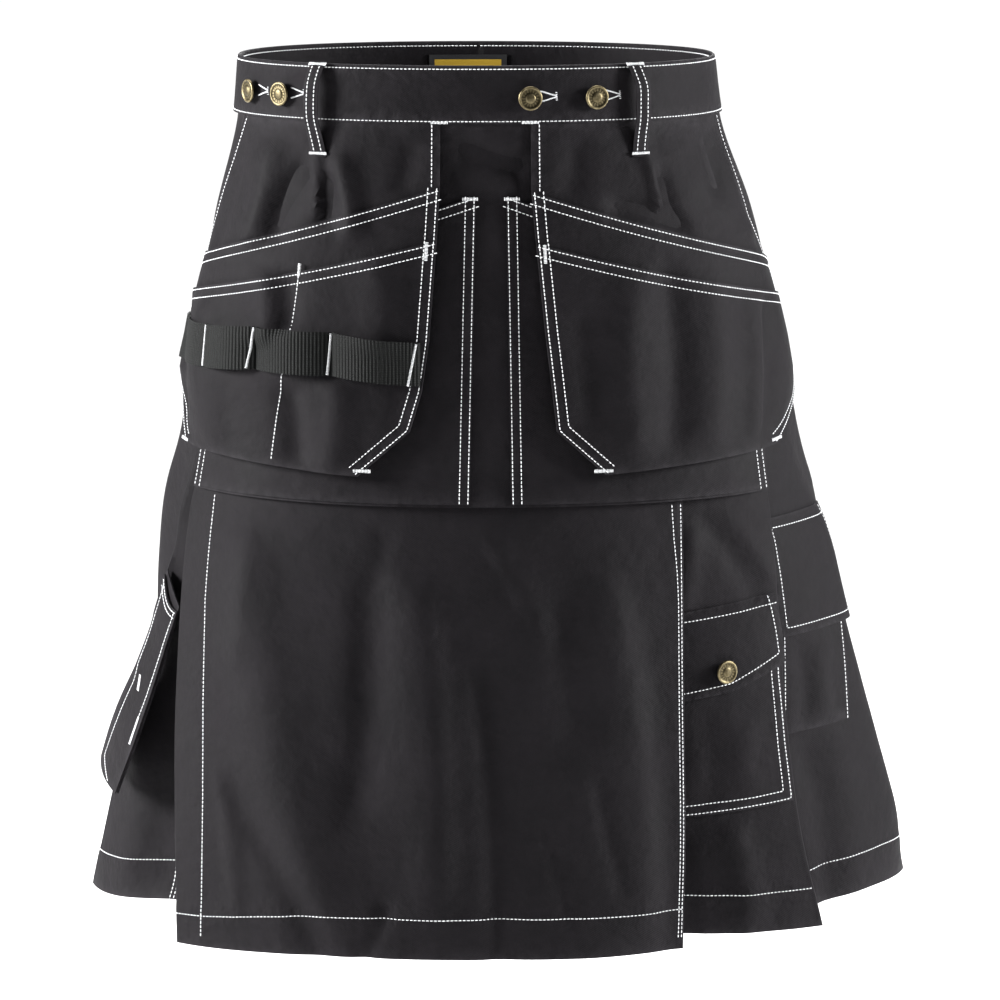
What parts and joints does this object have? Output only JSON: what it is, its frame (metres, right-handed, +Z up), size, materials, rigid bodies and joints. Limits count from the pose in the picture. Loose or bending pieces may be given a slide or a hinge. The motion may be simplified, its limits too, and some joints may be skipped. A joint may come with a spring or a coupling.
{
  "type": "utility kilt",
  "caption": "Hollow knee-length work kilt as worn: wrapped apron, pleats, hanging tool holsters, cargo and ruler pockets, belt loops and brass shank buttons",
  "frame": {"origin": "centre of the waistband ring at its mid height, where the wearer's waist holds the kilt", "axes": "+Z up along the wearer's body, the kilt's front faces -Y, +X is the viewer's right and the wearer's left"},
  "size_m": [0.5991, 0.4697, 0.6156],
  "materials": {
    "cloth": "near-black heavy cotton twill, matt",
    "webbing": "dark grey ribbed webbing",
    "brass": "antique brass, satin",
    "label": "plain woven label, matt"
  },
  "bodies": {
    "root": {"waistband": "cloth", "front_apron": "cloth", "side_panel_right": "cloth", "side_panel_left": "cloth", "rear_panel_right": "cloth", "rear_panel_left": "cloth", "back_panel": "cloth", "tool_apron": "cloth", "patch_pocket_left": "cloth", "patch_pocket_right": "cloth", "holster_back_left": "cloth", "holster_inner_pocket_left": "cloth", "holster_outer_pocket_left": "cloth", "holster_back_right": "cloth", "holster_inner_pocket_right": "cloth", "holster_outer_pocket_right": "cloth", "tool_strap": "webbing", "belt_loop_front_left": "cloth", "belt_loop_front_right": "cloth", "belt_loop_side_left": "cloth", "belt_loop_side_right": "cloth", "belt_loop_back_left": "cloth", "belt_loop_back_right": "cloth", "belt_loop_back_centre": "cloth", "button_left_outer": "brass", "button_left_inner": "brass", "button_right_inner": "brass", "button_right_outer": "brass", "cargo_pocket": "cloth", "cargo_flap": "cloth", "button_cargo_flap": "brass", "phone_pocket": "cloth", "phone_flap": "cloth", "ruler_pocket_back": "cloth", "ruler_pocket_front": "cloth", "label": "label"}
  },
  "joints": []
}
